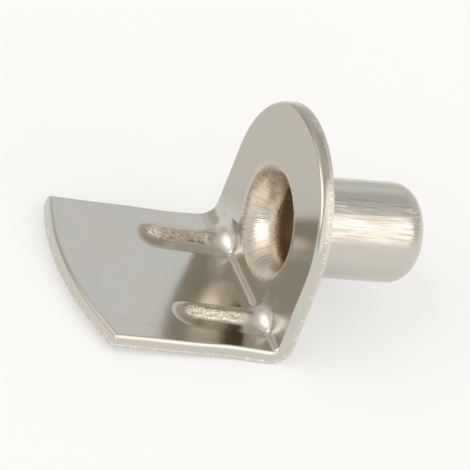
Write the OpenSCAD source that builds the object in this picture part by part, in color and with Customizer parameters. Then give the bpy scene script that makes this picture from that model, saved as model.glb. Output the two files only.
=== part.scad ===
// Shelf support pin, pressed in one piece from a strip of sheet steel. A hollow pin is drawn out of
// the back of an upright plate, and a flange folded forward at the plate's foot carries the shelf.
// Two ribs, pushed in from outside, cross the fold and stiffen it.
// The pin's axis is the X axis, with its tip towards +X. X = 0 is the plate's back face, which
// bears on the cabinet side, and +Z is up. The part is symmetric about Y = 0.

/* [Sheet] */
// Thickness of the sheet
sheet_t = 0.7; // [0.5:0.05:0.9]
// Width of the strip
strip_w = 11.2; // [10:0.1:13]
// Radius rolled onto the front edge all round the strip
edge_r = 0.15; // [0.05:0.05:0.25]

/* [Pin] */
// Diameter of the pin
pin_d = 5; // [4.5:0.1:5.5]
// Length of the pin, from the plate's back face to its tip
pin_len = 7; // [5:0.5:10]
// Outer radius round the pin's tip
pin_tip_r = 1.25; // [1:0.05:1.6]
// Radius between the pin and the plate's back face
pin_root_r = 0.45; // [0.2:0.05:0.7]
// Slope at which the dished mouth of the pin's hollow begins on the plate's front face, in degrees
mouth_slope = 20; // [10:5:30]

/* [Plate] */
// Height of the plate's top above the flange
plate_h = 10; // [9:0.5:14]
// Height of the pin's axis above the flange
pin_h = 3.8; // [3.7:0.1:4.5]

/* [Flange] */
// Length of the flange along its middle, from the plate's front face
flange_len = 10; // [8:0.5:14]
// Radius of the arc across the flange's free end
flange_end_r = 16.5; // [10:0.5:40]
// Rise of the flange from level towards its free end, in degrees
flange_rise = 2.5; // [0:0.5:5]
// Inside radius of the fold between plate and flange
fold_r = 0.35; // [0.2:0.05:0.6]

/* [Ribs] */
// Distance between the middles of the two ribs
rib_spacing = 6.3; // [5.5:0.1:7]
// Width of a rib between its feet
rib_w = 2.1; // [1.8:0.1:2.6]
// Height of a rib above the sheet
rib_h = 0.5; // [0.3:0.05:0.6]
// Radius at the feet of a rib
rib_foot_r = 0.3; // [0.1:0.05:0.4]
// Radius in which the crest of a rib turns from the flange up the plate
rib_turn_r = 0.5; // [0.3:0.05:0.8]
// How far each face of the sheet sinks in that turn, where the metal is stretched most
rib_thinning = 0.02; // [0.01:0.01:0.05]
// Straight length of a rib along the flange, between its turn and its round end
rib_flange_run = 2.9; // [1:0.1:5]
// Straight length of a rib up the plate, between its turn and its round end
rib_plate_run = 0.1; // [0.1:0.05:0.3]

/* [Hidden] */
$fn = 96;
nickel = [0.60, 0.58, 0.53];

// The fold is a hair inside the faces that it joins, and all turns between plate and flange lap
// into them by a small angle in degrees, so that the pieces cross instead of only touching.
hair = 0.001;
lap = 1;
// How far a cut, or the piece that fills it, runs on past what it has to clear
margin = 0.1;

half_w = strip_w / 2;
foot_z = -pin_h;
round_z = foot_z + plate_h - half_w;
fold_angle = 90 + flange_rise;
pin_r = pin_d / 2;

// How far from the corner of the two front faces a round of radius r between them begins
function setback(r) = r * (1 + sin(flange_rise)) / cos(flange_rise);

fold_z = foot_z + setback(fold_r);

// The pin's mouth on the front face, and the disc of the plate that is drawn with the pin
mouth_r = pin_r + pin_root_r;
draw_r = mouth_r + margin;

// Round of a rib's crest, which meets the rounds at its feet smoothly
rib_crest_r = (pow(rib_w / 2, 2) + pow(rib_h, 2) - 2 * rib_foot_r * rib_h) / (2 * rib_h);
// Radius in which the front face would turn below a rib, and how far below it the fold lies
rib_path_r = rib_h + rib_turn_r;
rib_base = (rib_path_r - fold_r) * (1 / cos(fold_angle / 2) - 1) + margin;

// What rounding to radius r takes off the +X, +Y corner of a square of side r
module corner_waste(r) {
    difference() {
        square(r);
        circle(r);
    }
}

// Cross-section of the strip: X is its thickness with the front face at -sheet_t, Y its width
module strip_section(inset = 0) {
    difference() {
        translate([inset - sheet_t, inset - half_w])
            square([sheet_t - 2 * inset, strip_w - 2 * inset]);
        for (side = [0, 1]) mirror([0, side])
            translate([edge_r + inset - sheet_t, half_w - edge_r - inset])
                mirror([1, 0]) corner_waste(edge_r);
    }
}

// Turns its profile from the plate's foot to the flange, round an axis that is a radius r in front
// of both front faces. The profile's X is its depth behind the front face, and Y is across the strip.
module turn(r) {
    translate([-sheet_t - r, 0, foot_z + setback(r)])
        rotate([-90, 0, 0]) rotate([0, 0, -lap])
            rotate_extrude(angle = fold_angle + 2 * lap) translate([r, 0]) children();
}

// Puts in place what is drawn on a level flange, its upper face at Z = 0 and the fold's end at X = 0
module on_flange() {
    translate([-sheet_t - fold_r, 0, fold_z]) rotate([0, flange_rise, 0])
        translate([0, 0, -fold_r]) children();
}

// Half of the section of a rolled disc of the sheet: X is its radius, Y its thickness
module rolled_disc_section(r) {
    difference() {
        translate([0, -sheet_t]) square([r, sheet_t]);
        translate([r - edge_r, edge_r - sheet_t]) mirror([0, 1]) corner_waste(edge_r);
    }
}

module plate() {
    translate([0, 0, fold_z]) linear_extrude(round_z - fold_z) strip_section();
    translate([0, 0, round_z]) rotate([0, 90, 0]) rotate([0, 0, 90])
        rotate_extrude(angle = 180) rolled_disc_section(half_w);
}

// The flange before it is bent up into place, its free end an arc
module flange() {
    run = flange_len - setback(fold_r);
    intersection() {
        translate([-run, 0, -sheet_t]) rotate([0, 90, 0]) linear_extrude(run) strip_section();
        translate([flange_end_r - run, 0, -sheet_t]) mirror([0, 0, 1])
            rotate_extrude() rolled_disc_section(flange_end_r);
    }
}

module fold() {
    turn(fold_r) translate([sheet_t, 0]) strip_section(hair);
}

// Half of the section of what leaves the sheet to be drawn into the pin
module drawn_disc_section() {
    clear = rib_h + margin;
    translate([0, -sheet_t - clear]) square([draw_r, sheet_t + 2 * clear]);
}

// Half of the pin's section: X is its radius, Y runs along its axis
module pin_section() {
    difference() {
        union() {
            square([pin_r, pin_len]);
            translate([0, -sheet_t]) square([draw_r, sheet_t]);
            translate([mouth_r, pin_root_r]) mirror([1, 0]) mirror([0, 1]) corner_waste(pin_root_r);
        }
        translate([pin_r - pin_tip_r, pin_len - pin_tip_r]) corner_waste(pin_tip_r);
        pin_hollow();
    }
}

// Half of the section of the pin's hollow, with its dished mouth and the round at its closed end.
// The dish is a round that begins on the front face at the mouth's slope and ends along the bore.
module pin_hollow() {
    bore_r = pin_r - sheet_t;
    end_r = pin_tip_r - sheet_t;
    end_x = pin_len - sheet_t;
    dish_r = (mouth_r - bore_r) / (1 - sin(mouth_slope));
    dish_x = dish_r * cos(mouth_slope) - sheet_t;
    wide_r = mouth_r + margin / 2;
    difference() {
        translate([0, -sheet_t - margin]) square([bore_r, end_x + sheet_t + margin]);
        translate([bore_r - end_r, end_x - end_r]) corner_waste(end_r);
    }
    difference() {
        polygon([[0, -sheet_t - margin], [wide_r, -sheet_t - margin], [wide_r, -sheet_t],
                 [bore_r, dish_x], [0, dish_x]]);
        translate([bore_r + dish_r, dish_x]) circle(dish_r);
    }
}

module on_pin_axis() {
    rotate([0, 90, 0]) rotate_extrude() children();
}

// Section across a rib, X across it and Y its height above the front face. With a depth of 0 it
// is the rib itself, and with the sheet's thickness the groove behind it. Its base spreads
// downwards to meet the fold, which lies below the rib's turn. Where the crest's round is no
// larger than the depth, the rounds at the feet meet in the middle.
module rib_section(depth) {
    foot = [rib_w / 2, rib_foot_r];
    crest = [0, rib_h - rib_crest_r];
    share = min(1, (rib_foot_r + depth) / (rib_foot_r + rib_crest_r));
    blend = foot + (crest - foot) * share;
    base = [rib_w / 2 + rib_base, -depth - rib_base];
    difference() {
        polygon([for (p = [base, [rib_w / 2, -depth], blend]) p,
                 for (p = [blend, [rib_w / 2, -depth], base]) [-p[0], p[1]]]);
        for (side = [-1, 1]) translate([side * foot[0], foot[1]]) circle(rib_foot_r + depth);
    }
    if (rib_crest_r > depth) intersection() {
        translate(crest) circle(rib_crest_r - depth);
        translate([-rib_w / 2, -depth]) square([rib_w, rib_h + depth]);
    }
}

// Half of a rib's section turned round its middle, for its round ends
module rib_end(depth) {
    rotate([0, 0, 90]) rotate_extrude(angle = 180) intersection() {
        rib_section(depth);
        translate([0, -half_w]) square(strip_w);
    }
}

module rib_run(depth, length) {
    rotate([90, 0, 90]) linear_extrude(length) rib_section(depth);
}

// One rib, or its groove, from end to end along the strip's middle
module rib(depth, turn_depth) {
    flange_start = setback(fold_r) - setback(rib_path_r);
    on_flange() translate([flange_start - rib_flange_run, 0, 0]) {
        rib_run(depth, rib_flange_run);
        rib_end(depth);
    }
    turn(rib_path_r) rotate(90) rib_section(turn_depth);
    translate([-sheet_t, 0, foot_z + setback(rib_path_r) + rib_plate_run])
        rotate([0, -90, 0]) mirror([1, 0, 0]) {
            rib_run(depth, rib_plate_run);
            rib_end(depth);
        }
}

module ribs(depth, turn_depth) {
    for (side = [-1, 1]) translate([0, side * rib_spacing / 2, 0]) rib(depth, turn_depth);
}

module shelf_support() {
    difference() {
        union() {
            plate();
            fold();
            on_flange() flange();
            ribs(0, rib_thinning);
        }
        ribs(sheet_t, sheet_t - rib_thinning);
        on_pin_axis() drawn_disc_section();
    }
    on_pin_axis() pin_section();
}

color(nickel) shelf_support();
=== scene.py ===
"""A shelf support pin pressed in one piece from nickel-plated sheet steel.

A hollow pin is drawn out of the back of an upright plate, and a flange folded forward at the
plate's foot carries the shelf. Two ribs, pressed up from outside, cross the fold.

The whole object is one closed surface. Its front is laid out first, as three grids that share
their border points: the plate round the pin's mouth, the pin's inside, and the fold with the
flange. The back is the front moved by the sheet's thickness along its normals, and the cut edge
joins the two. Lengths in the shape classes are millimetres; the mesh is made in metres.
"""

from __future__ import annotations

import logging
import math
from dataclasses import dataclass
from enum import Enum
from typing import Any, Union

import bpy
import numpy as np
from mathutils import Matrix, Vector

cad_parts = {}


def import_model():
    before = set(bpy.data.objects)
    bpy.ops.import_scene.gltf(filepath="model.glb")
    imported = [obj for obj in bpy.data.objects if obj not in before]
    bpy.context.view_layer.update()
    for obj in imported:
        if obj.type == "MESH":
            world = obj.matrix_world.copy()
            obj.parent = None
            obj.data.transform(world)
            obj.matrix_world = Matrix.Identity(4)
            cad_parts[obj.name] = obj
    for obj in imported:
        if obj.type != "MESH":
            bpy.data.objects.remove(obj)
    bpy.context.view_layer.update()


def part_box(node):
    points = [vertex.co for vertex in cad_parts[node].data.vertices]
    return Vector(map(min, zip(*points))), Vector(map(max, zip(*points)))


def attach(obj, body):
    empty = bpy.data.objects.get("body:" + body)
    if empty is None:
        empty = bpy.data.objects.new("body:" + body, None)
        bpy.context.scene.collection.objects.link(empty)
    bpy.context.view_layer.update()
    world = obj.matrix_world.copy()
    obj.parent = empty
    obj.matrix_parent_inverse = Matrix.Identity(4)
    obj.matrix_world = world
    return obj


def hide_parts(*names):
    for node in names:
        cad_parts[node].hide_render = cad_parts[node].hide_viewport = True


LOG = logging.getLogger("shelf_support")
MM = 0.001
BOUNCES = 16
GLOSSY_BOUNCES = 12

Socket = bpy.types.NodeSocket
Sockets = dict[str, Socket]
Input = Union[Socket, float, tuple]
Triple = tuple[float, float, float]
Span = tuple[float, float]


def smooth(x: np.ndarray, start: float, end: float) -> np.ndarray:
    """Rises smoothly from 0 at start to 1 at end: 3s^2 - 2s^3 of the share s of the way."""
    s = np.clip((x - start) / (end - start), 0.0, 1.0)
    return s * s * (3.0 - 2.0 * s)


def spread(stops: list[float], steps: tuple[int, ...]) -> np.ndarray:
    """Lays even points between stops.

    Args:
        stops: The ends of the stretches, in order.
        steps: How many steps each stretch takes.

    Returns:
        The points, with every stop among them once.
    """
    ends = zip(stops[:-1], stops[1:], steps, strict=True)
    runs = [np.linspace(a, b, n, endpoint=False) for a, b, n in ends]
    return np.concatenate([*runs, [stops[-1]]])


def revolve(radius: np.ndarray, x: np.ndarray, theta: np.ndarray) -> np.ndarray:
    """Turns radii at X round the X axis, to the points x, r cos(theta), r sin(theta)."""
    return np.stack(np.broadcast_arrays(x, radius * np.cos(theta), radius * np.sin(theta)), 2)


def number(grids: list[np.ndarray]) -> list[np.ndarray]:
    """Indices of the points of grids that follow one another, in each grid's shape."""
    ends = np.cumsum([grid.size // 3 for grid in grids])
    return [np.arange(e - g.size // 3, e).reshape(g.shape[:2]) for g, e in zip(grids, ends)]


def closed(ids: np.ndarray) -> np.ndarray:
    """Repeats the first column of a grid of indices behind its last."""
    return np.concatenate([ids, ids[:, :1]], 1)


def quads(ids: np.ndarray) -> np.ndarray:
    """The faces between neighbouring rows and columns of a grid of indices."""
    return np.stack([ids[:-1, :-1], ids[:-1, 1:], ids[1:, 1:], ids[1:, :-1]], 2).reshape(-1, 4)


def fan(ring: np.ndarray, pole: int) -> np.ndarray:
    """Triangles from a ring to its pole."""
    return np.stack([np.roll(ring, -1), ring, np.full(ring.size, pole)], 1)


def normals(points: np.ndarray, faces: list[np.ndarray]) -> np.ndarray:
    """Works out unit normals, each the mean of its faces' normals by area.

    Args:
        points: The points.
        faces: Blocks of faces with the same number of corners, as indices.

    Returns:
        One normal for each point.
    """
    total = np.zeros_like(points)
    for block in faces:
        corner = points[block]
        area = np.cross(corner[:, 2] - corner[:, 0], corner[:, -1] - corner[:, 1])
        for i in range(block.shape[1]):
            np.add.at(total, block[:, i], area)
    return total / np.linalg.norm(total, axis=1)[:, None]


class Mask(Enum):
    """The mesh's attributes that the finish reads.

    RIB is the rib's height over the flange as a share of its full height. MOUTH is 1 on the dish
    and falls off outwards and inwards, and is weaker round the pin's root. BORE rises from the
    mouth into the hollow, and PIN along the outside of the pin from its root. TURN is 1 where
    a rib's crest turns up the plate. SHEAR holds three numbers for the cut edge: whether it is
    there, the length along the outline in millimetres, and the share of the way through the sheet.
    """

    RIB = "rib"
    MOUTH = "mouth"
    BORE = "bore"
    PIN = "pin"
    TURN = "turn"
    SHEAR = "shear"


@dataclass(frozen=True)
class Fades:
    """Where the masks rise or fall.

    rib is a distance from the fold's corner along the flange, rim a distance outwards from the
    mouth's rim, turn a distance from a turn's middle, and the others are values of X. root_share
    is the strength of the MOUTH mask round the pin's root.
    """

    rib: Span = (0.7, 1.0)
    rim: Span = (0.02, 0.3)
    mouth: Span = (0.6, 3.0)
    bore: Span = (0.1, 1.6)
    root: Span = (0.3, 1.2)
    pin: Span = (0.2, 0.7)
    turn: Span = (0.55, 1.2)
    root_share: float = 0.6


@dataclass(frozen=True)
class Strip:
    """The sheet steel strip and the roll on its cut edges."""

    thickness: float = 0.7
    half_width: float = 5.6
    edge_r: float = 0.2
    edge_depth: float = 0.4
    edge_steps: int = 7
    bead_width: float = 0.035
    bead_height: float = 0.005
    bead_reach: float = 2.4
    bead_end: float = 0.5
    bead_steps: int = 3
    wall_steps: int = 4
    sharp_deg: float = 42.0

    def edge_distances(self) -> np.ndarray:
        """Places the columns over the rolled edge.

        Returns:
            Distances from the outline, from beyond the edge's bead down to 0.
        """
        angle = np.linspace(0.0, math.pi / 2, self.edge_steps + 1)
        start = self.edge_r + self.bead_reach * self.bead_width
        bead = np.linspace(start, self.edge_r, self.bead_steps, endpoint=False)
        return np.concatenate([bead, self.edge_r * (1.0 - np.sin(angle))])

    def roll(self, distance: np.ndarray) -> np.ndarray:
        """Depth below the flat face of a quarter ellipse, edge_r wide and edge_depth deep."""
        inwards = np.clip(1.0 - distance / self.edge_r, 0.0, 1.0)
        return self.edge_depth * (1.0 - np.sqrt(1.0 - inwards**2))

    def bead(self, distance: np.ndarray) -> np.ndarray:
        """Height of the faint bead where the roll begins, with a bell-shaped section."""
        return self.bead_height * np.exp(-(((distance - self.edge_r) / self.bead_width) ** 2))

    def shear(self, border: np.ndarray, corners: int) -> np.ndarray:
        """Works out the SHEAR mask.

        Args:
            border: The outline's points in order.
            corners: How many corners the mesh's faces have; the wall's faces are the last.

        Returns:
            One vector for each corner, all 0 away from the wall.
        """
        length = np.linalg.norm(np.roll(border, -1, axis=0) - border, axis=1)
        along = np.concatenate([[0.0], np.cumsum(length)])
        through = np.linspace(0.0, 1.0, self.wall_steps + 1)
        grid = np.stack(np.meshgrid(through, along, indexing="ij"), 2)
        blocks = [grid[:-1, :-1], grid[:-1, 1:], grid[1:, 1:], grid[1:, :-1]]
        wall = np.stack(blocks, 2).reshape(-1, 2)
        result = np.zeros((corners, 3))
        result[-len(wall) :, 0] = 1.0
        result[-len(wall) :, 1:] = wall[:, ::-1]
        return result


@dataclass(frozen=True)
class Ribs:
    """The two ribs: where they lie, their section, and how they run.

    In the fold, a rib's section goes from its low form on the plate to its full form on the
    flange over the part of the turn that grow gives, in half turns.
    """

    offset: float = 3.15
    half_width: float = 1.05
    height: float = 0.5
    ridge_reach: float = 0.38
    ridge_off: float = 0.18
    skirt_share: float = 0.4
    skirt_round: float = 0.12
    path_r: float = 1.35
    turn_reach: float = 1.04
    turn_flat: float = 2.5
    turn_middle: Triple = (-1.2, 3.1, -3.3)
    grow: Span = (0.15, 0.5)
    flange_run: float = 2.54
    mound_reach: float = 1.2
    plate_share: float = 0.14
    plate_reach: float = 0.6

    def section(self, across: np.ndarray, beyond: np.ndarray | float = 0.0) -> np.ndarray:
        """Works out the height over the flange.

        A bell-shaped ridge, its top a little off the middle, stands on a skirt that falls evenly
        to a crisp foot.

        Args:
            across: Signed distance from the rib's middle.
            beyond: Distance past the centre of the rib's round end, 0 along its straight run.

        Returns:
            The height, 0 outside the foot.
        """
        away = np.minimum(np.hypot(across, beyond) / self.half_width, 1.0)
        slope = np.sqrt(away**2 + self.skirt_round**2 * (1.0 - away**2))
        skirt = (1.0 - slope) / (1.0 - self.skirt_round)
        off = np.hypot(across - self.ridge_off, beyond) / self.ridge_reach
        ridge = np.exp(-(off**2)) * (1.0 - away**4)
        return self.height * ((1.0 - self.skirt_share) * ridge + self.skirt_share * skirt)

    def bulge(self, across: np.ndarray) -> np.ndarray:
        """Flat-topped shape of the turn: 1 less a power of the share of its reach."""
        share = np.minimum(np.abs(across - self.ridge_off) / self.turn_reach, 1.0)
        return 1.0 - share**self.turn_flat

    def mound(self, away: np.ndarray) -> np.ndarray:
        """Height over the plate, where the rib dies out: half a wave, with no crisp foot."""
        reach = np.minimum(away / self.mound_reach, 1.0)
        return self.height * self.plate_share * 0.5 * (1.0 + np.cos(math.pi * reach))

    def across(self, y: np.ndarray) -> np.ndarray:
        """Signed distance of y from the middle of the nearer rib."""
        return y - np.where(y < 0.0, -self.offset, self.offset)


@dataclass(frozen=True)
class Fold:
    """The bend between plate and flange, whose front faces would meet in a corner at foot_z.

    It goes from inside_r to soft_r over soft_side, as distances from the +Y rib's middle.
    """

    foot_z: float = -3.8
    inside_r: float = 0.36
    soft_r: float = 0.8
    soft_side: Span = (0.5, 1.3)
    rise_deg: float = 2.5
    steps: int = 22

    @property
    def rise(self) -> float:
        """Rise of the flange from level, in radians."""
        return math.radians(self.rise_deg)

    def setback(self, r: np.ndarray | float) -> np.ndarray | float:
        """How far from the corner a round of radius r begins, on plate and flange alike."""
        return r * (1.0 + math.sin(self.rise)) / math.cos(self.rise)


@dataclass(frozen=True)
class Pin:
    """The drawn pin: its inside with a lopsided, dished mouth, and its outside."""

    wall: float = Strip().thickness
    length: float = 7.0
    radius: float = 2.5
    tip_r: float = 1.25
    root_r: float = 0.45
    mouth_edge_r: float = 0.2
    mouth_slope: float = 20.0
    lop: float = 0.12
    lop_deg: float = -45.0
    edge_steps: int = 4
    flare_steps: int = 16
    bore_steps: int = 14
    round_steps: int = 8
    cap_steps: int = 4

    @property
    def bore_r(self) -> float:
        """Radius of the bore."""
        return self.radius - self.wall

    def dish(self) -> tuple[float, float]:
        """Works out the round that takes the mouth into the bore.

        It would cut the plate's front face at the root's radius, with the mouth's slope.

        Returns:
            The dish's radius, and the X at which it ends along the bore.
        """
        slope = math.radians(self.mouth_slope)
        radius = (self.radius + self.root_r - self.bore_r) / (1.0 - math.sin(slope))
        return radius, radius * math.cos(slope) - self.wall

    def rim_radius(self) -> float:
        """Finds where the small round between the plate's front face and the dish begins.

        Returns:
            Its radius from the pin's axis, before the mouth is made lopsided.
        """
        dish, end = self.dish()
        edge = self.mouth_edge_r
        deep = end + self.wall - edge
        return self.bore_r + dish - math.sqrt((dish - edge) ** 2 - deep**2)

    def inside(self) -> np.ndarray:
        """Draws the profile of the inside from its mouth to its closed end.

        A small round starts the mouth, and a dish of a larger radius leads on to the bore.

        Returns:
            Rows of radius and X, without the end's middle.
        """
        edge, rim_r = self.mouth_edge_r, self.rim_radius()
        dish, start_x = self.dish()
        slope = math.asin((self.bore_r + dish - rim_r) / (dish - edge))
        a = np.linspace(0.0, slope, self.edge_steps + 1)[1:]
        rim = np.stack([rim_r - edge * np.sin(a), edge * (1.0 - np.cos(a)) - self.wall], 1)
        a = np.linspace(slope, math.pi / 2, self.flare_steps + 1)[1:]
        flare = np.stack([self.bore_r + dish * (1.0 - np.sin(a)), start_x - dish * np.cos(a)], 1)
        end = self.closed_end(self.bore_r, self.tip_r - self.wall, start_x, self.length - self.wall)
        return np.concatenate([rim, flare, end])

    def outside(self) -> np.ndarray:
        """Draws the profile of the outside from its root to its tip.

        Returns:
            Rows of radius and X, as many as the inside has.
        """
        a = np.linspace(0.0, math.pi / 2, self.edge_steps + self.flare_steps + 1)[1:]
        root = self.root_r * np.stack([1.0 - np.sin(a), 1.0 - np.cos(a)], 1)
        root[:, 0] += self.radius
        end = self.closed_end(self.radius, self.tip_r, self.root_r, self.length)
        return np.concatenate([root, end])

    def closed_end(self, radius: float, end_r: float, start_x: float, end_x: float) -> np.ndarray:
        """Draws the profile of a straight tube with a rounded, flat end.

        Args:
            radius: The tube's radius.
            end_r: The radius that rounds its end.
            start_x: The X at which the tube begins.
            end_x: The X of its flat end.

        Returns:
            Rows of radius and X, without the tube's first point and the end's middle.
        """
        x = np.linspace(start_x, end_x - end_r, self.bore_steps + 1)[1:]
        tube = np.stack([np.full(x.size, radius), x], 1)
        b = np.linspace(0.0, math.pi / 2, self.round_steps + 1)[1:]
        turn = np.stack([radius - end_r + end_r * np.cos(b), end_x - end_r + end_r * np.sin(b)], 1)
        r = np.linspace(radius - end_r, 0.0, self.cap_steps + 1)[1:-1]
        cap = np.stack([r, np.full(r.size, end_x)], 1)
        return np.concatenate([tube, turn, cap])

    def lopsided(self, radius: np.ndarray | float, theta: np.ndarray) -> np.ndarray:
        """Radius of the dish at an angle: what it has over the bore grows towards lop_deg."""
        wider = 1.0 + self.lop * np.cos(theta - math.radians(self.lop_deg))
        return self.bore_r + (radius - self.bore_r) * wider

    def inner_grid(self, theta: np.ndarray) -> np.ndarray:
        """Turns the inside round the X axis, its dish lopsided.

        Args:
            theta: The angles.

        Returns:
            The points, one row to a point of the profile.
        """
        radius, x = (v[:, None] for v in self.inside().T)
        radius = np.where(radius > self.bore_r, self.lopsided(radius, theta), radius)
        return revolve(radius, x, theta)

    def outer_grid(self, theta: np.ndarray) -> np.ndarray:
        """Turns the outside round the X axis, one row to a point of the profile."""
        radius, x = (v[:, None] for v in self.outside().T)
        return revolve(radius, x, theta)


@dataclass(frozen=True)
class Outline:
    """The plate's round top, the flange's arched end, and how their grids are laid.

    The flange has a waist beside the ribs, which fades in over waist_in, and widens to its
    corners from the share corners_from of its length. Both move only its sides, outside the first
    distance of sides. least_lean bounds how far a slanting column of the plate's grid stretches
    the edge's rows, and edge_slack finds the edge's columns in spite of rounding.
    """

    round_z: float = 0.6
    flange_len: float = 10.0
    end_r: float = 16.5
    waist_at: float = 2.6
    waist_reach: float = 1.5
    waist_depth: float = 0.11
    waist_in: Span = (0.3, 1.2)
    corner_out: float = 0.07
    corners_from: float = 0.6
    sides: Span = (4.0, 5.4)
    lift_below: float = -2.0
    least_lean: float = 0.4
    edge_slack: float = 1.01
    side_steps: int = 30
    top_steps: int = 92
    plate_rows: int = 30
    rib_margin: float = 0.1
    column_steps: tuple[int, int, int] = (12, 48, 8)
    flange_stops: tuple[float, ...] = (0.0, 0.055, 0.42, 0.60, 0.985)
    flange_steps: tuple[int, ...] = (4, 22, 26, 14)


@dataclass
class Sheet:
    """Front and back points with the same faces, the outline's indices in order, and the masks."""

    front: np.ndarray
    back: np.ndarray
    faces: list[np.ndarray]
    border: np.ndarray
    masks: dict[Mask, np.ndarray]


@dataclass(frozen=True)
class Support:
    """Builds the closed surface of the whole support."""

    strip: Strip = Strip()
    ribs: Ribs = Ribs()
    fold: Fold = Fold()
    pin: Pin = Pin()
    outline: Outline = Outline()
    fades: Fades = Fades()

    def columns(self) -> np.ndarray:
        """Places the columns across the strip, close at its edges and over the ribs.

        Returns:
            Their Y, from one edge to the other.
        """
        line, middle = self.outline, self.ribs.offset
        edge = self.strip.half_width - self.strip.edge_distances()
        reach = self.ribs.half_width + line.rib_margin
        half = spread([0.0, middle - reach, middle + reach, edge[0]], line.column_steps)
        half = np.concatenate([half, edge[1:]])
        return np.concatenate([-half[:0:-1], half])

    def turn_radius(self, y: np.ndarray) -> np.ndarray:
        """Works out the radius of the turn from plate to flange.

        Args:
            y: Places across the strip.

        Returns:
            The radius: path_r in a rib's middle, falling with the ribs' bulge to the fold's own,
            which is softer at the +Y side.
        """
        rib, tight = self.ribs, self.fold.inside_r
        start, end = (rib.offset + v for v in self.fold.soft_side)
        tight = tight + (self.fold.soft_r - tight) * smooth(y, start, end)
        return tight + (rib.path_r - tight) * rib.bulge(rib.across(y))

    def plate_height(self, y: np.ndarray, z: np.ndarray) -> np.ndarray:
        """Works out the ribs' height over the plate.

        Args:
            y: Places across the strip.
            z: Heights up the plate.

        Returns:
            Their mound, straight up to the height where a rib's turn ends and round above it.
        """
        rib = self.ribs
        start = self.fold.foot_z + self.fold.setback(rib.path_r)
        beyond = np.maximum(z - start, 0.0) * rib.mound_reach / rib.plate_reach
        return rib.mound(np.hypot(rib.across(y), beyond))

    def flange_height(self, y: np.ndarray, s: np.ndarray) -> np.ndarray:
        """Height of the ribs over the flange: straight to their centres, round beyond them."""
        end = self.fold.setback(self.ribs.path_r) + self.ribs.flange_run
        return self.ribs.section(self.ribs.across(y), np.maximum(s - end, 0.0))

    def flange_length(self, points: np.ndarray) -> np.ndarray:
        """Distance of points from the fold's corner, measured along the flange."""
        x, z = points[..., 0] + self.strip.thickness, points[..., 2] - self.fold.foot_z
        return z * math.sin(self.fold.rise) - x * math.cos(self.fold.rise)

    def plate_outline(self, across: np.ndarray) -> tuple[np.ndarray, np.ndarray]:
        """Draws the border of the plate's grid: foot, one side, the round top, the other side.

        Args:
            across: The columns across the strip, which the foot has.

        Returns:
            The Y, Z points and the outward normals.
        """
        line, half = self.outline, self.strip.half_width
        foot = np.full(across.size, self.fold.foot_z + self.fold.setback(self.fold.inside_r))
        rise = np.linspace(foot[-1], line.round_z, line.side_steps + 1)[1:]
        fall = rise[::-1][1:]
        top = np.linspace(0.0, math.pi, line.top_steps + 1)[1:]
        up, down = np.ones(rise.size), np.ones(fall.size)
        y = np.concatenate([across, half * up, half * np.cos(top), -half * down])
        z = np.concatenate([foot, rise, line.round_z + half * np.sin(top), fall])
        at_edge = np.abs(across) > half - line.edge_slack * self.strip.edge_distances()[0]
        foot_y, foot_z = np.where(at_edge, np.sign(across), 0.0), np.where(at_edge, 0.0, -1.0)
        normal_y = np.concatenate([foot_y, up, np.cos(top), -down])
        normal_z = np.concatenate([foot_z, np.zeros_like(up), np.sin(top), np.zeros_like(down)])
        return np.stack([y, z], 1), np.stack([normal_y, normal_z], 1)

    def plate_grid(self, across: np.ndarray) -> np.ndarray:
        """Lays the plate between the pin's mouth and the plate's border.

        Each column is straight. Its last rows keep the edge's distances from the outline.

        Args:
            across: The columns across the strip, which the foot has.

        Returns:
            The points, one row to a border point, from the mouth outwards.
        """
        outer, normal = self.plate_outline(across)
        angle = np.arctan2(outer[:, 1], outer[:, 0])
        mouth = self.pin.lopsided(self.pin.rim_radius(), angle)
        inner = mouth[:, None] * np.stack([np.cos(angle), np.sin(angle)], 1)
        reach = outer - inner
        length = np.linalg.norm(reach, axis=1)
        lean = np.maximum(np.abs(np.sum(reach * normal, 1)) / length, self.outline.least_lean)
        edge = self.strip.edge_distances()[None, :] / lean[:, None]
        start = length[:, None] - edge[:, :1]
        share = np.linspace(0.0, 1.0, self.outline.plate_rows, endpoint=False)[None, :]
        along = np.concatenate([start * share, length[:, None] - edge], 1) / length[:, None]
        flat = inner[:, None, :] + reach[:, None, :] * along[:, :, None]
        y, z = flat[..., 0], flat[..., 1]
        z = self.lift_foot(y, z)
        x = -self.strip.thickness - self.plate_height(y, z)
        return np.stack([x, y, z], 2)

    def lift_foot(self, y: np.ndarray, z: np.ndarray) -> np.ndarray:
        """Squeezes the lowest part of the plate's grid upwards where the turn starts higher.

        Args:
            y: The grid's Y.
            z: The grid's Z, which goes down to the start of the tight turn.

        Returns:
            The new Z. Even heights below lift_below stay even and end at the turn's start at
            that y, and nothing moves above it.
        """
        fold, top = self.fold, self.outline.lift_below
        low = fold.foot_z + fold.setback(fold.inside_r)
        start = fold.foot_z + fold.setback(self.turn_radius(y))
        return np.where(z < top, top + (z - top) * (top - start) / (top - low), z)

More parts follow.
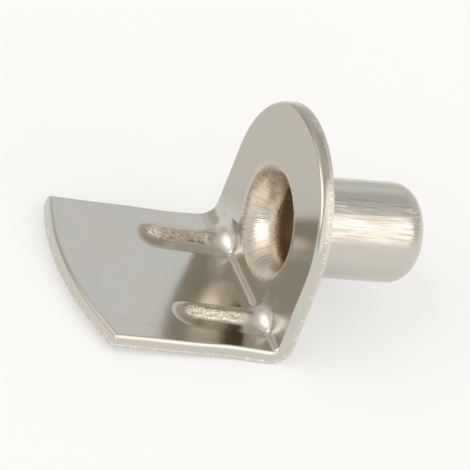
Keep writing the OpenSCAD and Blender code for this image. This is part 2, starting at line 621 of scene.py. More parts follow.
    def flange_grid(self, across: np.ndarray) -> np.ndarray:
        """Lays the fold's arc and the flange, row by row away from the plate.

        For each column the arc has the turn's radius less the rib's height, about a centre that
        lies that radius in front of both faces. Behind it the flange is straight, to its arched
        end.

        Args:
            across: The columns across the strip.

        Returns:
            The points, one row to a distance from the plate.
        """
        fold, rise, line, t = self.fold, self.fold.rise, self.outline, self.strip.thickness
        y = across[None, :]
        radius = self.turn_radius(y)
        angle = np.linspace(0.0, math.pi / 2 + rise, fold.steps + 1)[1:, None]
        low = self.ribs.mound(np.abs(self.ribs.across(y)))
        grown = smooth(angle, *(v * math.pi for v in self.ribs.grow))
        high = low + (self.ribs.section(self.ribs.across(y)) - low) * grown
        x = -t - radius + (radius - high) * np.cos(angle)
        z = fold.foot_z + fold.setback(radius) - (radius - high) * np.sin(angle)
        arc = np.stack(np.broadcast_arrays(x, y, z), 2)
        first = fold.setback(radius)
        last = line.flange_len - line.end_r + np.sqrt(line.end_r**2 - y**2)
        edge = self.strip.edge_distances()[:, None]
        rows = spread(list(line.flange_stops), line.flange_steps)[1:, None]
        rows = rows / rows[-1]
        s = np.concatenate([first + (last - edge[0] - first) * rows, last - edge[1:]])
        high = self.flange_height(y, s)
        x = -t - s * math.cos(rise) + high * math.sin(rise)
        z = fold.foot_z + s * math.sin(rise) + high * math.cos(rise)
        flat = np.stack(np.broadcast_arrays(x, y, z), 2)
        return np.concatenate([arc, flat])

    def sheet(self) -> Sheet:
        """Joins the three grids into the sheet's front, and moves it back by its thickness.

        Returns:
            The sheet with rolled edges. Round the pin, the back is the pin's outside.
        """
        across = self.columns()
        plate, flange = self.plate_grid(across), self.flange_grid(across)
        theta = np.arctan2(plate[:, 0, 2], plate[:, 0, 1])
        tube = self.pin.inner_grid(theta)
        pole = np.array([[self.pin.length - self.strip.thickness, 0.0, 0.0]])
        points = np.concatenate([g.reshape(-1, 3) for g in (plate, tube, flange, pole)])
        plate_ids, tube_ids, flange_ids = number([plate, tube, flange])
        pole_id = len(points) - 1
        mouth, side, foot = plate_ids[:, 0][None], plate_ids[:, -1], across.size
        faces = [
            quads(np.concatenate([plate_ids, plate_ids[:1]]).T[::-1])[:, ::-1],
            quads(closed(np.concatenate([mouth, tube_ids]))[::-1]),
            quads(np.concatenate([side[None, :foot], flange_ids])[::-1])[:, ::-1],
            fan(tube_ids[-1], pole_id),
        ]
        ends = [flange_ids[:, 0], flange_ids[-1, 1:], flange_ids[-2::-1, -1]]
        border = np.concatenate([side[foot - 1 :], side[:1], *ends])
        normal = normals(points, faces)
        drop = np.zeros((len(points), 1))
        drop[plate_ids.ravel(), 0] = self.plate_drop(plate).ravel()
        drop[flange_ids.ravel(), 0] = self.flange_drop(flange).ravel()
        back = points - self.strip.thickness * normal
        back[tube_ids.ravel()] = self.pin.outer_grid(theta).reshape(-1, 3)
        back[pole_id] = [self.pin.length, 0.0, 0.0]
        front = points - drop * normal
        for skin in (front, back):
            skin[flange_ids.ravel()] = self.draw_in(skin[flange_ids.ravel()])
        inside = np.append(tube_ids.ravel(), pole_id)
        masks = self.masks(points, back, inside, flange_ids.ravel())
        return Sheet(front, back, faces, border, masks)

    def masks(
        self, front: np.ndarray, back: np.ndarray, tube: np.ndarray, flange: np.ndarray
    ) -> dict[Mask, np.ndarray]:
        """Works out where the finish changes.

        Args:
            front: The front's points before its edges are rolled.
            back: The back's points.
            tube: Indices of the pin's points.
            flange: Indices of the points of the fold and the flange.

        Returns:
            Each mask, for the points of the front and then of the back.
        """
        fades, none = self.fades, np.zeros(len(front))
        rib, inside = none.copy(), none.copy()
        length = self.flange_length(front[flange])
        rib[flange] = self.flange_height(front[flange, 1], length) * smooth(length, *fades.rib)
        rib = rib / self.ribs.height
        inside[tube] = 1.0
        rim = self.pin.rim_radius()
        lopsided_rim = self.pin.lopsided(rim, np.arctan2(front[:, 2], front[:, 1]))
        beyond = np.hypot(front[:, 1], front[:, 2]) - lopsided_rim
        around = 1.0 - smooth(beyond, *fades.rim)
        around[flange] = 0.0
        x_front, x_back = front[:, 0], back[:, 0]
        mouth = np.where(inside > 0.0, 1.0 - smooth(x_front, *fades.mouth), around)
        root = np.where(inside > 0.0, 1.0 - smooth(x_back, *fades.root), around)
        folded = np.stack([x_front, np.abs(front[:, 1]), front[:, 2]], 1)
        away = np.linalg.norm(folded - np.array(self.ribs.turn_middle), axis=1)
        turn = 1.0 - smooth(away, *fades.turn)
        return {
            Mask.RIB: np.concatenate([rib, rib]),
            Mask.MOUTH: np.concatenate([mouth, fades.root_share * root]),
            Mask.BORE: np.concatenate([inside * smooth(x_front, *fades.bore), none]),
            Mask.PIN: np.concatenate([none, inside * smooth(x_back, *fades.pin)]),
            Mask.TURN: np.concatenate([turn, turn]),
        }

    def plate_drop(self, plate: np.ndarray) -> np.ndarray:
        """Works out how far the rolled edge lowers the plate's points.

        Args:
            plate: The plate's grid.

        Returns:
            The roll less its bead, by the distance from the sides or from the round top.
        """
        half, round_z = self.strip.half_width, self.outline.round_z
        y, z = plate[..., 1], plate[..., 2]
        inside = half - np.where(z < round_z, np.abs(y), np.hypot(y, z - round_z))
        return self.strip.roll(inside) - self.strip.bead(inside)

    def flange_drop(self, flange: np.ndarray) -> np.ndarray:
        """Works out how far the rolled edge lowers the points of the fold and the flange.

        Args:
            flange: Their grid.

        Returns:
            The deeper roll of those from the sides and from the end, less the higher bead, which
            stops where the roll is deeper than its share bead_end.
        """
        line, strip = self.outline, self.strip
        y, s = flange[..., 1], self.flange_length(flange)
        beside = strip.half_width - np.abs(y)
        inside = line.end_r - np.hypot(y, s - line.flange_len + line.end_r)
        fall = np.maximum(strip.roll(beside), strip.roll(inside))
        bead = np.maximum(strip.bead(beside), strip.bead(inside))
        return fall - bead * (fall < strip.bead_end * strip.edge_depth)

    def draw_in(self, points: np.ndarray) -> np.ndarray:
        """Narrows the flange beside the ribs, where the metal was drawn, and widens its corners.

        Args:
            points: The points of the fold and the flange.

        Returns:
            The points with Y grown by a share that is a downward bell round waist_at and rises
            to corner_out in the last stretch before the free end.
        """
        line = self.outline
        s, y = self.flange_length(points), points[:, 1]
        waist = np.exp(-(((s - line.waist_at) / line.waist_reach) ** 2)) * smooth(s, *line.waist_in)
        corner = smooth(s, line.corners_from * line.flange_len, line.flange_len)
        share = (line.corner_out * corner - line.waist_depth * waist) / self.strip.half_width
        wider = y * (1.0 + share * smooth(np.abs(y), *line.sides))
        return np.stack([points[:, 0], wider, points[:, 2]], 1)

    def mesh(self, name: str) -> bpy.types.Object:
        """Makes the closed mesh: front, back and the cut edge between them.

        Args:
            name: The object's name.

        Returns:
            The object, with the masks on its mesh.
        """
        sheet = self.sheet()
        front, back, border = sheet.front, sheet.back, sheet.border
        count = len(front)
        share = np.linspace(0.0, 1.0, self.strip.wall_steps + 1)[1:-1, None, None]
        wall = front[border] + (back[border] - front[border]) * share
        points = np.concatenate([front, back, wall.reshape(-1, 3)])
        within = 2 * count + np.arange(wall.size // 3).reshape(wall.shape[:2])
        cut = quads(closed(np.concatenate([border[None], within, border[None] + count])))
        faces = [*sheet.faces, *[f[:, ::-1] + count for f in sheet.faces], cut]
        mesh = bpy.data.meshes.new(name)
        mesh.from_pydata((points * MM).tolist(), [], [f for block in faces for f in block.tolist()])
        mesh.validate()
        mesh.update()
        mesh.shade_smooth()
        mesh.set_sharp_from_angle(angle=math.radians(self.strip.sharp_deg))
        for mask, values in sheet.masks.items():
            layer = mesh.attributes.new(mask.value, "FLOAT", "POINT")
            layer.data.foreach_set("value", np.append(values, np.zeros(wall.size // 3)))
        layer = mesh.attributes.new(Mask.SHEAR.value, "FLOAT_VECTOR", "CORNER")
        shear = self.strip.shear(front[border], len(mesh.loops))
        layer.data.foreach_set("vector", shear.ravel())
        return link(name, mesh)


def link(name: str, data: bpy.types.ID) -> bpy.types.Object:
    """Makes an object of a mesh or a camera and puts it into the scene.

    Args:
        name: The object's name.
        data: What it shows.

    Returns:
        The object.
    """
    obj = bpy.data.objects.new(name, data)
    bpy.context.scene.collection.objects.link(obj)
    return obj


class Graph:
    """Adds nodes to one node tree and links them."""

    def __init__(self, tree: bpy.types.NodeTree) -> None:
        """Keeps the tree that the nodes go into."""
        self.tree = tree

    def add(self, kind: str, **settings: Any) -> bpy.types.Node:
        """Adds a node.

        Args:
            kind: The node's type without its ShaderNode prefix.
            settings: Properties of the node, such as its operation.

        Returns:
            The node.
        """
        node = self.tree.nodes.new(f"ShaderNode{kind}")
        for name, value in settings.items():
            setattr(node, name, value)
        return node

    def put(self, socket: Socket, value: Input) -> None:
        """Links a socket to another one, or sets it to a plain value.

        Args:
            socket: The input to fill.
            value: The other socket or the plain value.
        """
        if isinstance(value, Socket):
            self.tree.links.new(value, socket)
        else:
            socket.default_value = value

    def fill(self, node: bpy.types.Node, values: dict[int | str, Input]) -> bpy.types.Node:
        """Fills a node's inputs.

        Args:
            node: The node.
            values: What goes into each input, by its place or its name.

        Returns:
            The node.
        """
        for key, value in values.items():
            self.put(node.inputs[key], value)
        return node

    def math(self, operation: str, *values: Input) -> Socket:
        """Works out one number from the values, in the order of the node's inputs."""
        return self.fill(self.add("Math", operation=operation), dict(enumerate(values))).outputs[0]

    def times(self, a: Input, b: Input) -> Socket:
        """The product a b."""
        return self.math("MULTIPLY", a, b)

    def fused(self, a: Input, b: Input, c: Input) -> Socket:
        """The sum a b + c."""
        return self.math("MULTIPLY_ADD", a, b, c)

    def vector(self, operation: str, a: Input, b: Input) -> Socket:
        """Works out one vector, or the dot product, from a vector and a second value.

        Args:
            operation: The node's operation.
            a: The vector.
            b: The other vector, or the number for SCALE.

        Returns:
            The result.
        """
        second = "Scale" if operation == "SCALE" else 1
        node = self.fill(self.add("VectorMath", operation=operation), {0: a, second: b})
        return node.outputs["Value" if operation == "DOT_PRODUCT" else "Vector"]

    def split(self, vector: Input) -> bpy.types.bpy_prop_collection:
        """The X, Y and Z of a vector, by name."""
        return self.fill(self.add("SeparateXYZ"), {0: vector}).outputs

    def combine(self, x: Input, y: Input = 0.0) -> Socket:
        """The vector x, y, 0."""
        return self.fill(self.add("CombineXYZ"), {"X": x, "Y": y}).outputs[0]

    def step(self, value: Input, span: Span) -> Socket:
        """Rises smoothly over a span, or falls where the span's start is the larger.

        Args:
            value: Where to read the step.
            span: Where it is 0, and where it is 1.

        Returns:
            The step.
        """
        node = self.add("MapRange", interpolation_type="SMOOTHSTEP")
        values = {"Value": value, "From Min": span[0], "From Max": span[1]}
        return self.fill(node, values).outputs["Result"]

    def noise(self, vector: Input, grain_mm: float, detail: float = 2.0) -> Socket:
        """Noise of about 0 to 1 whose coarsest grain has the given size, on a vector in metres."""
        values = {"Vector": vector, "Scale": 1.0 / (grain_mm * MM), "Detail": detail}
        return self.fill(self.add("TexNoise"), values).outputs["Fac"]

    def mix(self, share: Input, a: Input, b: Input) -> Socket:
        """Goes from colour a at a share of 0 to colour b at 1."""
        node = self.add("Mix", data_type="RGBA")
        return self.fill(node, {0: share, 6: a, 7: b}).outputs[2]

    def attribute(self, mask: Mask) -> bpy.types.Node:
        """Reads one of the mesh's attributes."""
        return self.add("Attribute", attribute_name=mask.value)

    def place(self, group: bpy.types.NodeTree, **inputs: Input) -> bpy.types.bpy_prop_collection:
        """Places a node group, fills its inputs by name and gives its outputs."""
        return self.fill(self.add("Group", node_tree=group), inputs).outputs


def effect(name: str, inputs: list[str], outputs: list[str]) -> tuple[Graph, Sockets, Sockets]:
    """Starts a node group for one effect of the finish.

    Args:
        name: The group's name.
        inputs: Names of its inputs; Vector is a vector and the rest are numbers.
        outputs: Names of its outputs, all numbers.

    Returns:
        The graph inside it, its inputs' sockets and its outputs' sockets by name.
    """
    tree = bpy.data.node_groups.new(name, "ShaderNodeTree")
    for title in inputs:
        kind = "NodeSocketVector" if title == "Vector" else "NodeSocketFloat"
        tree.interface.new_socket(title, in_out="INPUT", socket_type=kind)
    for title in outputs:
        tree.interface.new_socket(title, in_out="OUTPUT", socket_type="NodeSocketFloat")
    start = tree.nodes.new("NodeGroupInput")
    end = tree.nodes.new("NodeGroupOutput")
    return Graph(tree), {n: start.outputs[n] for n in inputs}, {n: end.inputs[n] for n in outputs}


@dataclass(frozen=True)
class OrangePeel:
    """Grain of the stretched metal under its thin plating: heights in metres."""

    fine_mm: float = 0.07
    fine_detail: float = 1.5
    coarse_mm: float = 0.42
    coarse_detail: float = 1.0
    coarse_share: float = 1.6

    def group(self) -> bpy.types.NodeTree:
        """Makes Height, which is Amount times fine noise plus a share of coarse noise.

        Returns:
            The node group, which also puts out the fine noise as Grain.
        """
        graph, given, out = effect("orange_peel", ["Vector", "Amount"], ["Height", "Grain"])
        fine = graph.noise(given["Vector"], self.fine_mm, self.fine_detail)
        coarse = graph.noise(given["Vector"], self.coarse_mm, self.coarse_detail)
        both = graph.fused(coarse, self.coarse_share, fine)
        graph.put(out["Height"], graph.times(both, given["Amount"]))
        graph.put(out["Grain"], fine)
        return graph.tree


@dataclass(frozen=True)
class StretchMarks:
    """Fine marks that run outwards from the pin's axis, where the sheet was drawn."""

    grain_mm: float = 0.08
    detail: float = 2.5
    round_mm: float = 2.5
    least_mm: float = 0.1
    along: float = 0.4

    def group(self) -> bpy.types.NodeTree:
        """Makes noise on the direction from the pin's axis, drawn out along the radius and X.

        Y and Z are scaled to a circle of round_mm. A share of X and of the radius is added to X.

        Returns:
            The node group: the noise as Mark, and times Amount as Height.
        """
        graph, given, out = effect("stretch_marks", ["Vector", "Amount"], ["Height", "Mark"])
        flat = graph.vector("MULTIPLY", given["Vector"], (0.0, 1.0, 1.0))
        radius = graph.math("SQRT", graph.vector("DOT_PRODUCT", flat, flat))
        least = graph.math("MAXIMUM", radius, self.least_mm * MM)
        circle = graph.vector("SCALE", flat, graph.math("DIVIDE", self.round_mm * MM, least))
        axial = graph.vector("MULTIPLY", given["Vector"], (self.along, 0.0, 0.0))
        lean = graph.combine(graph.times(radius, self.along))
        place = graph.vector("ADD", graph.vector("ADD", circle, axial), lean)
        mark = graph.noise(place, self.grain_mm, self.detail)
        graph.put(out["Height"], graph.times(mark, given["Amount"]))
        graph.put(out["Mark"], mark)
        return graph.tree


@dataclass(frozen=True)
class DrawMarks:
    """Streaks along the pin from the die that it was drawn through."""

    grain_mm: float = 0.10
    detail: float = 2.5
    along: float = 0.05
    patch_mm: float = 0.9
    patch_along: float = 0.45
    patches: Span = (0.4, 0.6)
    faint: float = 0.2
    scuffs: Span = (0.5, 0.62)
    lines: Span = (0.5, 0.36)

    def group(self) -> bpy.types.NodeTree:
        """Makes noise drawn out along X, strong in some patches and faint between them.

        Returns:
            The node group: the streaks times Amount as Height, the high ones inside the patches
            as Scuff, and the low ones as Line.
        """
        graph, given, out = effect("draw_marks", ["Vector", "Amount"], ["Height", "Scuff", "Line"])
        long = graph.vector("MULTIPLY", given["Vector"], (self.along, 1.0, 1.0))
        streak = graph.noise(long, self.grain_mm, self.detail)
        wide = graph.vector("MULTIPLY", given["Vector"], (self.patch_along, 1.0, 1.0))
        patch = graph.step(graph.noise(wide, self.patch_mm), self.patches)
        strength = graph.fused(patch, 1.0 - self.faint, self.faint)
        graph.put(out["Height"], graph.times(graph.times(streak, strength), given["Amount"]))
        graph.put(out["Scuff"], graph.times(patch, graph.step(streak, self.scuffs)))
        graph.put(out["Line"], graph.step(streak, self.lines))
        return graph.tree


@dataclass(frozen=True)
class ShearedWall:
    """The cut edge: a smooth burnished band next to the front, then a torn, grainy part.

    The band's border lies at the share band of the sheet's thickness and sways by half of sway.
    """

    band: float = 0.42
    sway: float = 0.3
    sway_mm: float = 0.8
    border: Span = (-0.05, 0.1)
    streak_mm: float = 0.09
    streak_across: float = 0.08
    tear_mm: float = 0.14
    tear_across: float = 0.7
    tear_detail: float = 3.0
    tear_share: float = 3.0
    specks: Span = (0.55, 0.66)

    def group(self) -> bpy.types.NodeTree:
        """Makes streaks across the thickness, and below the band a coarse grain.

        Returns:
            The node group, whose Vector is the SHEAR mask: the relief times Amount as Height,
            the part below the band as Torn, and the highest streaks as Glint, where painted glints go.
        """
        graph, given, out = effect("sheared_wall", ["Vector", "Amount"], ["Height", "Torn", "Glint"])
        parts = graph.split(given["Vector"])
        wall, length, depth = (parts[axis] for axis in "XYZ")
        along = graph.times(length, MM)
        streak_at = graph.combine(along, graph.times(depth, self.streak_across * MM))
        streak = graph.noise(streak_at, self.streak_mm)
        tear_at = graph.combine(along, graph.times(depth, self.tear_across * MM))
        tear = graph.noise(tear_at, self.tear_mm, self.tear_detail)
        sway = graph.noise(streak_at, self.sway_mm)
        border = graph.fused(sway, self.sway, self.band - 0.5 * self.sway)
        below = graph.math("SUBTRACT", depth, border)
        torn = graph.times(graph.step(below, self.border), wall)
        rough = graph.fused(tear, graph.times(torn, self.tear_share), streak)
        graph.put(out["Height"], graph.times(graph.times(rough, wall), given["Amount"]))
        graph.put(out["Torn"], torn)
        graph.put(out["Glint"], graph.times(graph.step(streak, self.specks), wall))
        return graph.tree


@dataclass(frozen=True)
class Handling:
    """What use and the plating tank leave: faint clouds, and a few hairline scratches."""

    cloud_mm: float = 3.2
    cloud_detail: float = 3.0
    scratch_mm: float = 0.5
    scratch_turn: Triple = (0.5, 0.3, 0.9)
    scratch_scale: Triple = (0.12, 1.0, 0.6)
    scratch_line: Span = (0.012, 0.003)
    patch_mm: float = 1.7
    patches: Span = (0.5, 0.66)

    def group(self) -> bpy.types.NodeTree:
        """Makes slow noise, and lines where long thin noise passes its middle, in patches.

        Returns:
            The node group, with the slow noise as Cloud and the lines as Scratch.
        """
        graph, given, out = effect("handling", ["Vector"], ["Cloud", "Scratch"])
        cloud = graph.noise(given["Vector"], self.cloud_mm, self.cloud_detail)
        values = {"Vector": given["Vector"], "Rotation": self.scratch_turn, "Scale": self.scratch_scale}
        long = graph.fill(graph.add("Mapping"), values).outputs[0]
        middle = graph.math("SUBTRACT", graph.noise(long, self.scratch_mm), 0.5)
        line = graph.step(graph.math("ABSOLUTE", middle), self.scratch_line)
        patch = graph.step(graph.noise(given["Vector"], self.patch_mm, 1.0), self.patches)
        graph.put(out["Cloud"], cloud)
        graph.put(out["Scratch"], graph.times(line, patch))
        return graph.tree


class Tone(Enum):
    """The tones of the plating: plain nickel, those that it takes on in places, and the painted light
    of glints, highlights, reflections and shade (GOLD, BRIGHT, BROWN, ROSY, DEEP).
    """

    PLAIN = (0.60, 0.58, 0.53)
    GREEN = (0.575, 0.58, 0.525)
    PINK = (0.615, 0.575, 0.52)
    DULL = (0.49, 0.465, 0.41)
    WARM = (0.68, 0.60, 0.50)
    ROSY = (0.67, 0.61, 0.56)
    DEEP = (0.74, 0.63, 0.48)
    TORN = (0.70, 0.64, 0.55)
    GOLD = (0.88, 0.75, 0.56)
    BROWN = (0.38, 0.27, 0.17)
    BRIGHT = (0.95, 0.92, 0.86)


@dataclass(frozen=True)
class Tint:
    """A tone laid on the metal, for some tints painted light, and its share where its mask is 1."""

    tone: Tone
    share: float = 1.0


@dataclass(frozen=True)
class Nickel:
    """Bright nickel plate on pressed steel.

    Each roughness, each depth of relief and the tints of the clouds, mouth, upper plate and torn
    edge belong to the place or effect that they are named for. The tints of the crests, rib ends,
    lines, scuffs, turns, bore and edge glints are painted light: glints, highlights, reflections and
    shade. The spans are where a tint's step goes from 0 to 1.
    """

    plain: Tone = Tone.PLAIN
    green: Tint = Tint(Tone.GREEN)
    pink: Tint = Tint(Tone.PINK)
    upper_plate: Tint = Tint(Tone.DULL)
    # Painted light on the crests: gold glints and brown shade specks, where orange peel would mirror
    # bright and dark surroundings.
    painted_crest_glints: Tint = Tint(Tone.GOLD, 0.7)
    painted_crest_shade: Tint = Tint(Tone.BROWN, 0.55)
    # Painted shade round the ribs' ends.
    tip: Tint = Tint(Tone.BROWN, 0.7)
    mouth: Tint = Tint(Tone.WARM, 0.6)
    # Painted shade on the mouth's stretch marks.
    mark_shade_tint: Tint = Tint(Tone.BROWN)
    # Painted shade: dark streaks inside the pin's highlight.
    line: Tint = Tint(Tone.BROWN, 0.5)
    # Painted highlight on the scuffs of the pin's lit side.
    scuff_glint: Tint = Tint(Tone.BRIGHT, 0.7)
    # Painted reflection: a lighter, rosy tone in the turns, round their highlight.
    turn: Tint = Tint(Tone.ROSY, 0.6)
    # Painted light: a brighter, browner tone that lifts the bore, which its reflections leave too dark.
    bore: Tint = Tint(Tone.DEEP, 0.85)
    torn: Tint = Tint(Tone.TORN, 0.6)
    # Painted glints on the cut edge.
    edge_glint: Tint = Tint(Tone.BRIGHT, 0.5)

    green_cloud: Span = (0.5, 0.35)
    pink_cloud: Span = (0.5, 0.68)
    upper_plate_side: Triple = (0.0, 0.5, 1.0)
    upper_plate_slant: Span = (-0.6 * MM, 0.6 * MM)
    upper_plate_x: Span = (0.2 * MM, -0.4 * MM)
    crest_rib: Span = (0.2, 0.5)
    crest_turn: Span = (1.0, 0.3)
    # Grain steps of the crests' painted glints (high) and painted shade specks (low).
    high: Span = (0.5, 0.62)
    low: Span = (0.5, 0.38)
    tip_foot: Span = (0.02, 0.12)
    tip_rib: Span = (0.5, 0.25)
    tip_x: Span = (-3.9 * MM, -4.6 * MM)
    hatch_mark: Span = (0.54, 0.42)
    hatch_z: Span = (0.4 * MM, 2.2 * MM)
    hatch_low: float = 0.3
    hatch_more: float = 0.4
    pin_r: float = Pin().radius * MM
    lit_side: Triple = (0.0, -0.656, 0.755)
    lit: Span = (0.87, 0.93)

    plain_roughness: float = 0.12
    cloud_roughness: float = 0.06
    pin_roughness: float = 0.08
    scuff_roughness: float = 0.1
    bore_roughness: float = 0.24
    turn_roughness: float = 0.17
    torn_roughness: float = 0.16
    scratch_roughness: float = 0.12

    flat_peel: float = 0.0012 * MM
    crest_peel: float = 0.036 * MM
    mouth_peel: float = 0.008 * MM
    mouth_marks: float = 0.015 * MM
    pin_draws: float = 0.006 * MM
    wall_grain: float = 0.012 * MM

    def material(self) -> bpy.types.Material:
        """Makes the one material of the support.

        Its relief is the sum of the effects' heights, each where its mask is. Its colour is
        plain nickel, tinted by one place or effect after another, several of them painted glints,
        highlights, reflections and shade, and its roughness adds up.

        Returns:
            The material.
        """
        material = bpy.data.materials.new("bright_nickel")
        material.use_nodes = True
        graph = Graph(material.node_tree)
        shader = material.node_tree.nodes["Principled BSDF"]
        shader.inputs["Metallic"].default_value = 1.0
        place = graph.add("TexCoord").outputs["Object"]
        masks = {m: graph.attribute(m).outputs["Fac"] for m in Mask if m is not Mask.SHEAR}
        rib, turn = masks[Mask.RIB], masks[Mask.TURN]
        crest = graph.times(graph.step(rib, self.crest_rib), graph.step(turn, self.crest_turn))
        mouth, pin = masks[Mask.MOUTH], masks[Mask.PIN]
        amount = graph.fused(mouth, self.mouth_peel, self.flat_peel)
        amount = graph.fused(crest, self.crest_peel, amount)
        peel = graph.place(OrangePeel().group(), Vector=place, Amount=amount)
        amount = graph.times(mouth, self.mouth_marks)
        marks = graph.place(StretchMarks().group(), Vector=place, Amount=amount)
        amount = graph.times(pin, self.pin_draws)
        draws = graph.place(DrawMarks().group(), Vector=place, Amount=amount)
        shear = graph.attribute(Mask.SHEAR).outputs["Vector"]
        wall = graph.place(ShearedWall().group(), Vector=shear, Amount=self.wall_grain)
        use = graph.place(Handling().group(), Vector=place)

        height = peel["Height"]
        for worked in (marks, draws, wall):
            height = graph.math("ADD", height, worked["Height"])
        bump = graph.fill(graph.add("Bump"), {"Distance": 1.0, "Height": height})
        graph.put(shader.inputs["Normal"], bump.outputs["Normal"])

        at = graph.split(place)
        side = tuple(v / self.pin_r for v in self.lit_side)
        lit = graph.times(graph.step(graph.vector("DOT_PRODUCT", place, side), self.lit), pin)
        # Scuffs on the pin's lit side: their bright tint is a painted highlight for the bright zone
        # that they mirror, and their roughness is real.
        scuff_glint = graph.times(draws["Scuff"], lit)
        color: Input = (*self.plain.value, 1.0)
        for share, tint in (
            (graph.step(use["Cloud"], self.green_cloud), self.green),
            (graph.step(use["Cloud"], self.pink_cloud), self.pink),
            (self.upper_plate_part(graph, place, at["X"]), self.upper_plate),
            # Painted glints and painted shade specks on the crests, by the peel's grain.
            (graph.times(crest, graph.step(peel["Grain"], self.high)), self.painted_crest_glints),
            (graph.times(crest, graph.step(peel["Grain"], self.low)), self.painted_crest_shade),
            (self.painted_rib_end_shade(graph, rib, at["X"]), self.tip),
            (mouth, self.mouth),
            # Painted shade on the mouth's stretch marks, stronger in its upper part.
            (self.painted_mark_shade(graph, mouth, marks["Mark"], at["Z"]), self.mark_shade_tint),
            # Dark streaks painted only on the pin's lit side: painted shade inside its highlight.
            (graph.times(draws["Line"], lit), self.line),
            (scuff_glint, self.scuff_glint),
            # A lighter rosy tone in the turns: painted reflection of the pale zone round their
            # highlight.
            (turn, self.turn),
            # Painted light in the bore: a brighter, browner tone that lifts the hollow.
            (masks[Mask.BORE], self.bore),
            (wall["Torn"], self.torn),
            # Painted glints on the highest streaks of the cut edge.
            (wall["Glint"], self.edge_glint),
        ):
            color = graph.mix(graph.times(share, tint.share), color, (*tint.tone.value, 1.0))
        graph.put(shader.inputs["Base Color"], color)

        rough: Input = self.plain_roughness
        for share, more in (
            (use["Cloud"], self.cloud_roughness),
            (pin, self.pin_roughness),
            (scuff_glint, self.scuff_roughness),
            (masks[Mask.BORE], self.bore_roughness),
            (turn, self.turn_roughness),
            (wall["Torn"], self.torn_roughness),
            (use["Scratch"], self.scratch_roughness),
        ):
            rough = graph.fused(share, more, rough)
        graph.put(shader.inputs["Roughness"], rough)
        return material

    def upper_plate_part(self, graph: Graph, place: Socket, x: Socket) -> Socket:
        """The plate's upper part, past a slanting line and in front of its back, which is tinted
        darker.
        """
        slant = graph.vector("DOT_PRODUCT", place, self.upper_plate_side)
        return graph.times(graph.step(slant, self.upper_plate_slant), graph.step(x, self.upper_plate_x))

    def painted_rib_end_shade(self, graph: Graph, rib: Socket, x: Socket) -> Socket:
        """The low slope of a rib round its end, over the foot and under the crest, where brown is
        painted shade: the dark surroundings that the concave foot mirrors.
        """
        slope = graph.times(graph.step(rib, self.tip_foot), graph.step(rib, self.tip_rib))
        return graph.times(slope, graph.step(x, self.tip_x))

    def painted_mark_shade(self, graph: Graph, mouth: Socket, mark: Socket, z: Socket) -> Socket:
        """The mouth's low stretch marks, tinted as painted shade for the dark surroundings that their
        relief mirrors: faint in its lower part and stronger in its upper part, which mirrors more of
        them.
        """
        upper = graph.fused(graph.step(z, self.hatch_z), self.hatch_more, self.hatch_low)
        return graph.times(graph.times(mouth, graph.step(mark, self.hatch_mark)), upper)


@dataclass(frozen=True)
class Zone:
    """A soft-edged part of the studio round the object, seen from the object."""

    towards: tuple[float, float]
    inner_deg: float
    outer_deg: float
    color: Triple

    def direction(self) -> Vector:
        """Unit vector from its azimuth (from +X towards +Y) and elevation in degrees."""
        az, el = (math.radians(v) for v in self.towards)
        return Vector((math.cos(az) * math.cos(el), math.sin(az) * math.cos(el), math.sin(el)))


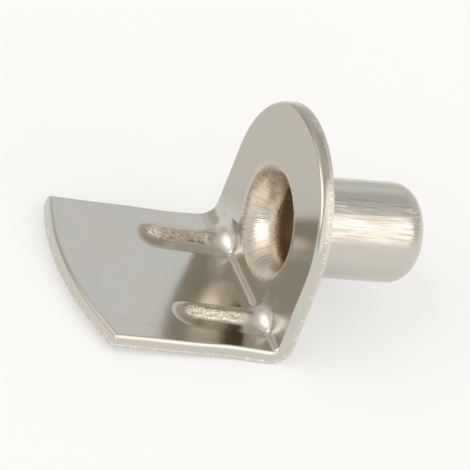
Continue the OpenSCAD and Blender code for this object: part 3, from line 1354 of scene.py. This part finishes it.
@dataclass(frozen=True)
class Studio:
    """Pale surroundings with soft lamps and darker walls, and a pale floor."""

    plain: Triple = (0.73, 0.71, 0.69)
    zones: tuple[Zone, ...] = (
        Zone((-65, -10), 15, 60, (0.99, 0.94, 0.90)),
        Zone((49, 54), 6, 22, (0.60, 0.59, 0.575)),
        Zone((60, 32), 3, 14, (0.82, 0.835, 0.84)),
        Zone((127, 27), 8, 24, (0.59, 0.53, 0.46)),
        Zone((168, 40), 15, 38, (1.05, 1.0, 0.94)),
        Zone((-62, 37), 16, 36, (1.70, 1.66, 1.58)),
        Zone((-95, 22), 12, 26, (1.43, 1.40, 1.35)),
        Zone((-160, 35), 20, 30, (2.1, 2.08, 2.05)),
    )
    floor_radius: float = 1.5
    floor_rings: int = 16
    floor_sides: int = 96
    floor_color: Triple = (0.92, 0.92, 0.91)
    floor_glow: float = 0.42

    def world(self) -> None:
        """Lights the scene with the plain colour and, over it, one zone after another."""
        world = bpy.data.worlds.new("studio")
        bpy.context.scene.world = world
        world.use_nodes = True
        graph = Graph(world.node_tree)
        towards = graph.add("TexCoord").outputs["Generated"]
        color: Input = (*self.plain, 1.0)
        for zone in self.zones:
            near = graph.vector("DOT_PRODUCT", towards, tuple(zone.direction()))
            span = tuple(math.cos(math.radians(v)) for v in (zone.outer_deg, zone.inner_deg))
            color = graph.mix(graph.step(near, span), color, (*zone.color, 1.0))
        graph.put(world.node_tree.nodes["Background"].inputs["Color"], color)

    def floor(self, height: float) -> bpy.types.Object:
        """Makes a round pale floor.

        Points on rings whose radius grows as a square, all at one height, and a middle point.

        Args:
            height: The Z of the lowest point of the object, in metres.

        Returns:
            The floor.
        """
        radius = self.floor_radius * np.linspace(0.0, 1.0, self.floor_rings + 1)[1:, None] ** 2
        angle = np.linspace(0.0, 2.0 * math.pi, self.floor_sides, endpoint=False)[None, :]
        rings = (radius * np.cos(angle), radius * np.sin(angle), height)
        points = np.stack(np.broadcast_arrays(*rings), 2).reshape(-1, 3)
        ids = np.arange(len(points)).reshape(self.floor_rings, self.floor_sides)
        blocks = (quads(closed(ids))[:, ::-1], fan(ids[0], len(points))[:, ::-1])
        points = np.concatenate([points, [[0.0, 0.0, height]]])
        mesh = bpy.data.meshes.new("floor")
        mesh.from_pydata(points.tolist(), [], [f for block in blocks for f in block.tolist()])
        mesh.update()
        mesh.materials.append(self.paper())
        obj = link("floor", mesh)
        return obj

    def paper(self) -> bpy.types.Material:
        """Makes pale paper, lifted towards white wherever it is seen, straight or in the metal.

        Returns:
            The material.
        """
        material = bpy.data.materials.new("pale_paper")
        material.use_nodes = True
        graph = Graph(material.node_tree)
        shader = material.node_tree.nodes["Principled BSDF"]
        values = {"Base Color": (*self.floor_color, 1.0), "Roughness": 1.0, "Specular IOR Level": 0.0}
        graph.fill(shader, values)
        glow = graph.add("Emission").outputs[0]
        path = graph.add("LightPath").outputs
        seen = graph.math("MAXIMUM", path["Is Camera Ray"], path["Is Glossy Ray"])
        seen = graph.math("MAXIMUM", seen, path["Is Transmission Ray"])
        values = {0: graph.times(seen, self.floor_glow), 1: shader.outputs[0], 2: glow}
        blend = graph.fill(graph.add("MixShader"), values)
        graph.put(material.node_tree.nodes["Material Output"].inputs["Surface"], blend.outputs[0])
        return material


@dataclass(frozen=True)
class View:
    """A parallel camera in front of the plate, above the flange's side."""

    right: Triple = (0.90287, -0.29522, 0.31251)
    up: Triple = (-0.06756, 0.62046, 0.78132)
    look: Triple = (0.42457, 0.72656, -0.54024)
    middle: Triple = (-0.7, 0.0, 1.2)
    shift: tuple[float, float] = (-2.062, -1.517)
    width: float = 23.198
    away: float = 100.0
    clip: tuple[float, float] = (0.001, 10.0)

    def camera(self) -> None:
        """Makes the camera. Its centre is the middle moved by the shift along right and up."""
        right, up, look = Vector(self.right), Vector(self.up), Vector(self.look)
        centre = Vector(self.middle) + self.shift[0] * right + self.shift[1] * up
        data = bpy.data.cameras.new("camera")
        data.type = "ORTHO"
        data.ortho_scale = self.width * MM
        data.clip_start, data.clip_end = self.clip
        camera = link("camera", data)
        turn = Matrix((right, up, -look)).transposed().to_4x4()
        camera.matrix_world = Matrix.Translation((centre - self.away * look) * MM) @ turn
        bpy.context.scene.camera = camera


def main() -> None:
    """Builds the support, its studio and the camera."""
    logging.basicConfig(level=logging.INFO)
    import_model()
    piece = Support().mesh("pressed_support")
    piece.data.materials.append(Nickel().material())
    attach(piece, "root")
    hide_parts("shelf_support")
    studio = Studio()
    studio.world()
    floor = studio.floor(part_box("shelf_support")[0][2])
    View().camera()
    for obj in (piece, floor):
        LOG.info("%s: %d faces", obj.name, len(obj.data.polygons))
    scene = bpy.context.scene
    scene.view_settings.view_transform = "Standard"
    scene.cycles.max_bounces = BOUNCES
    scene.cycles.glossy_bounces = GLOSSY_BOUNCES


if __name__ == "__main__":
    main()
